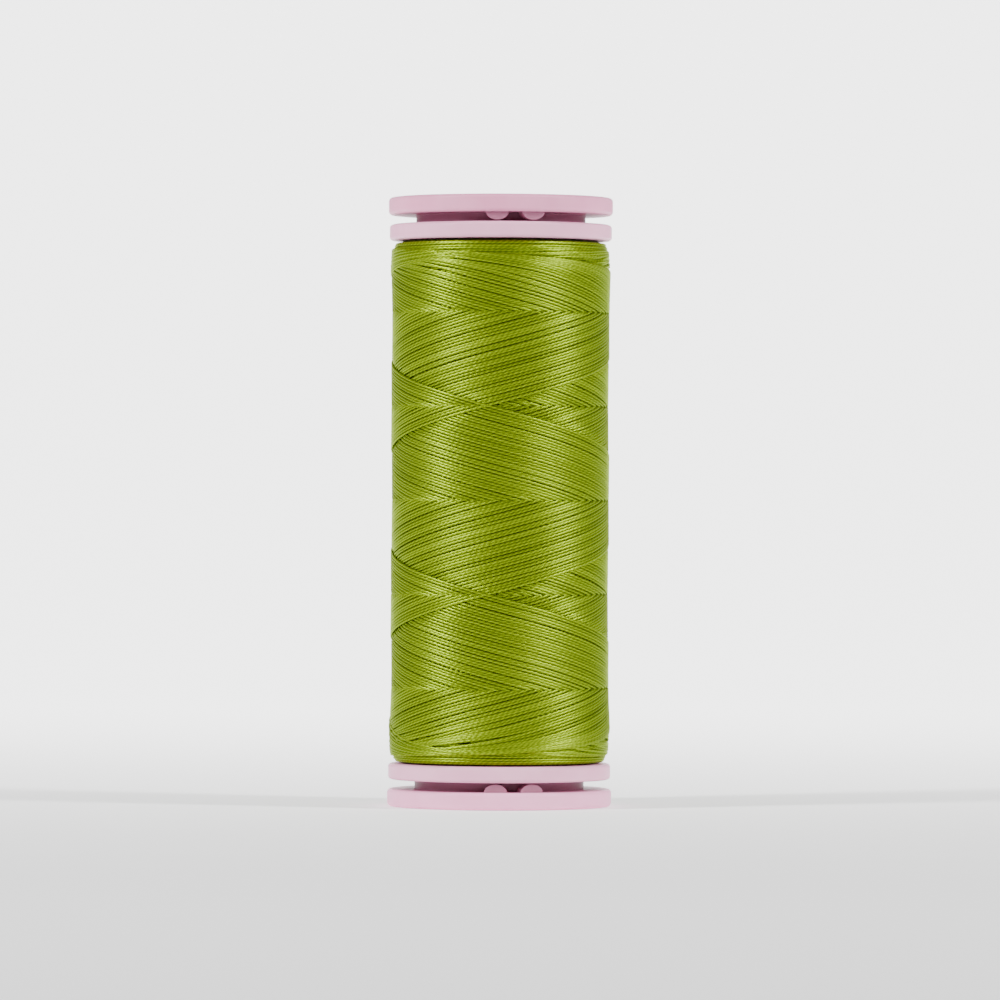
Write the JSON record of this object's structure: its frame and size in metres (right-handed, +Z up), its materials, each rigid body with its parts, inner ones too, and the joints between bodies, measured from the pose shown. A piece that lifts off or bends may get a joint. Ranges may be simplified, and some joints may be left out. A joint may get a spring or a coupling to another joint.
{
  "type": "spool of sewing thread",
  "caption": "Slim sewing-thread spool with sliding snap-end caps that pinch the thread tail, wound with cross-laid thread.",
  "frame": {"origin": "centre of the bottom cap's outer face, where the spool stands", "axes": "+Z up the spool's axis, -Y towards the front, where each cap has its two thread-catch bumps"},
  "size_m": [0.0226, 0.0224, 0.061],
  "materials": {
    "barrel_plastic": "satin moulded plastic",
    "cap_plastic": "satin moulded plastic",
    "label_paper": "plain uncoated paper",
    "thread": "spun polyester thread, soft sheen"
  },
  "bodies": {
    "spool": {"spool_barrel": "barrel_plastic", "thread_winding": "thread"},
    "bottom_cap": {"bottom_snap_cap": "cap_plastic", "bottom_label": "label_paper"},
    "top_cap": {"top_snap_cap": "cap_plastic", "top_label": "label_paper"}
  },
  "joints": [
    {"name": "bottom_cap_snap", "type": "slide", "parent": "spool", "child": "bottom_cap", "axis": [0, 0, 1], "range_m": [0, 0.0009]},
    {"name": "top_cap_snap", "type": "slide", "parent": "spool", "child": "top_cap", "axis": [0, 0, -1], "range_m": [0, 0.0009]}
  ]
}
